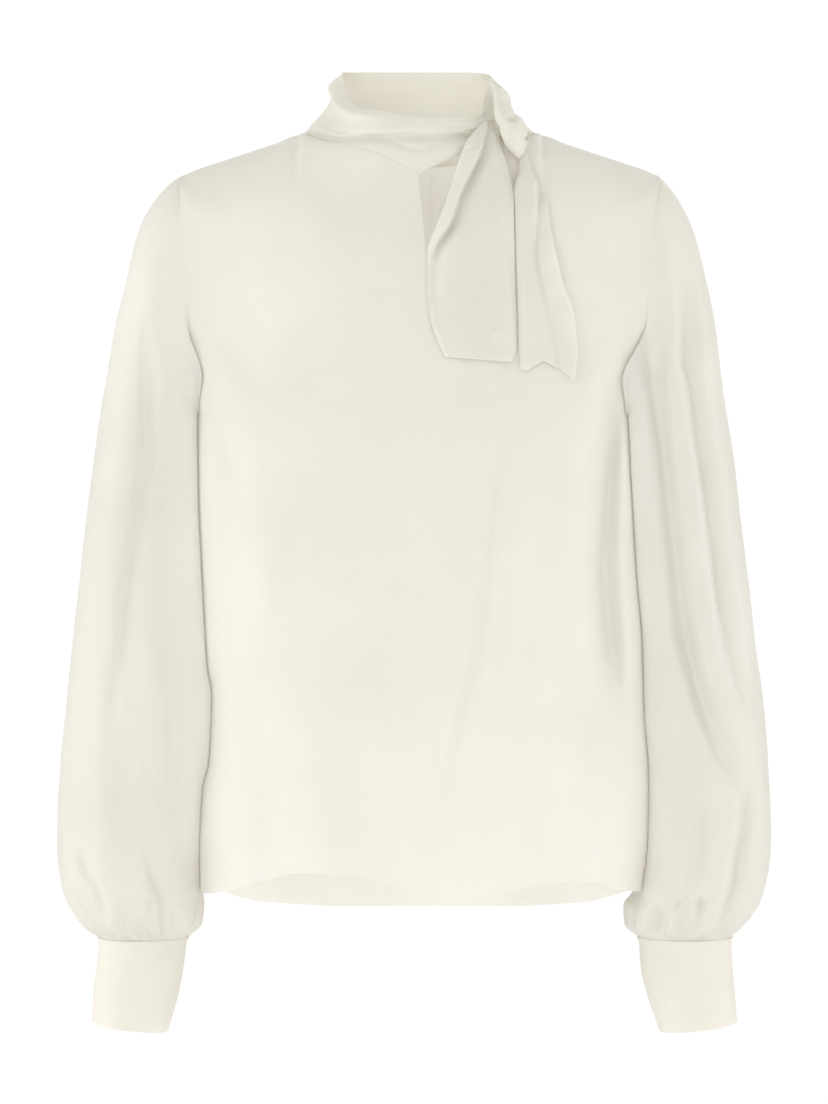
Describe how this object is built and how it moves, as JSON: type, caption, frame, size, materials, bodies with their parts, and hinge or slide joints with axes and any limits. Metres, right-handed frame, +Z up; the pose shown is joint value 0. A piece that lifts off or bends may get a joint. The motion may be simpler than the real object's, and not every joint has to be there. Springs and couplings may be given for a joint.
{
  "type": "tie-neck silk blouse",
  "caption": "Silk blouse filled out as worn, with a folded collar knotted at the wearer's left, a short neck slit, full sleeves and deep cuffs.",
  "frame": {"origin": "midway between the tops of the armholes' seams, at the level of the neckline's sides, where the wearer's shoulders carry it", "axes": "+Z up towards the collar, -Y out of the front, +X towards the wearer's left"},
  "size_m": [0.5707, 0.2344, 0.7781],
  "materials": {
    "silk": "soft sheen",
    "silk_double": "soft sheen, two layers"
  },
  "bodies": {
    "root": {"front": "silk", "back_right": "silk", "back_left": "silk", "sleeve_right": "silk", "sleeve_left": "silk", "cuff_right": "silk_double", "cuff_left": "silk_double", "collar": "silk_double", "knot": "silk_double", "tie_end_front": "silk_double", "tie_end_back": "silk_double"}
  },
  "joints": []
}
